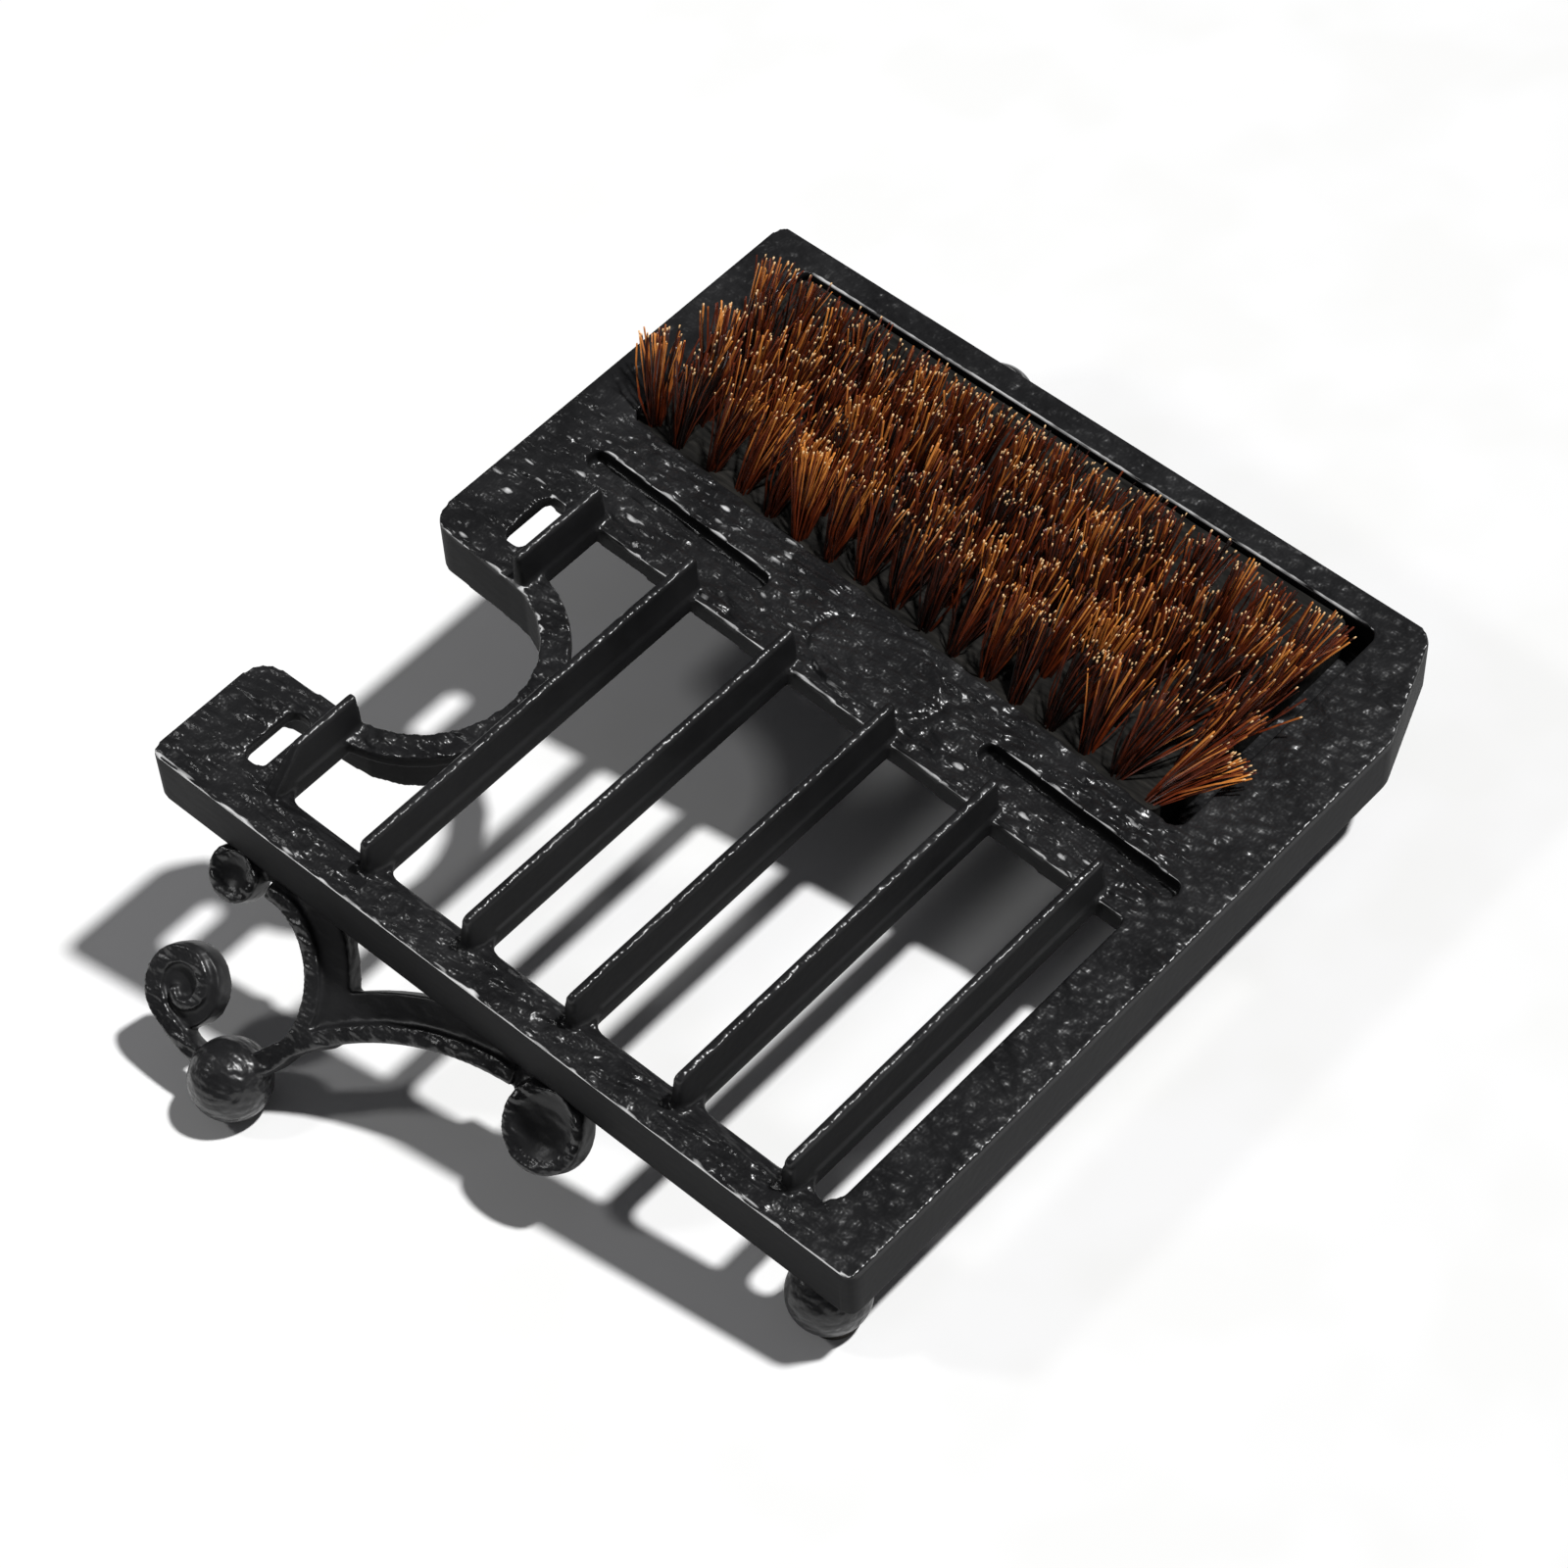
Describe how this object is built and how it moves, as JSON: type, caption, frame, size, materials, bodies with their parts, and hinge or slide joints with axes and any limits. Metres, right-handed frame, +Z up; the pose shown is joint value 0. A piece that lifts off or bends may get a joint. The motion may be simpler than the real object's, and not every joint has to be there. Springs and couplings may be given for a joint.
{
  "type": "boot scraper",
  "caption": "Black cast iron boot scraper with upright scraper blades, a round heel notch and a bristle brush, on scroll legs and ball feet.",
  "frame": {"origin": "middle of the part's floor area, on the floor that the feet stand on", "axes": "+Z up, +X from the raised heel notch end to the low end, +Y from the front leg to the brush side"},
  "size_m": [0.2954, 0.4048, 0.1193],
  "materials": {
    "black_iron": "glossy black paint over a hammered casting",
    "dark_steel": "blackened",
    "zinc_steel": "zinc plated",
    "pad_rubber": "matt",
    "block_wood": "grey stained",
    "bristle_fibre": "stiff brown plant fibre"
  },
  "bodies": {
    "root": {"frame_casting": "black_iron", "front_leg": "black_iron", "back_leg": "black_iron", "front_ball_foot": "black_iron", "back_ball_foot": "black_iron", "front_leg_screws": "dark_steel", "back_leg_screws": "dark_steel", "leg_washers": "dark_steel", "foot_screws": "dark_steel", "brush_screws": "zinc_steel", "brush_washers": "zinc_steel", "front_foot_pad": "pad_rubber", "back_foot_pad": "pad_rubber", "brush_block": "block_wood", "bristle_row_1": "bristle_fibre", "bristle_row_2": "bristle_fibre", "bristle_row_3": "bristle_fibre", "bristle_row_4": "bristle_fibre", "bristle_row_5": "bristle_fibre"}
  },
  "joints": []
}
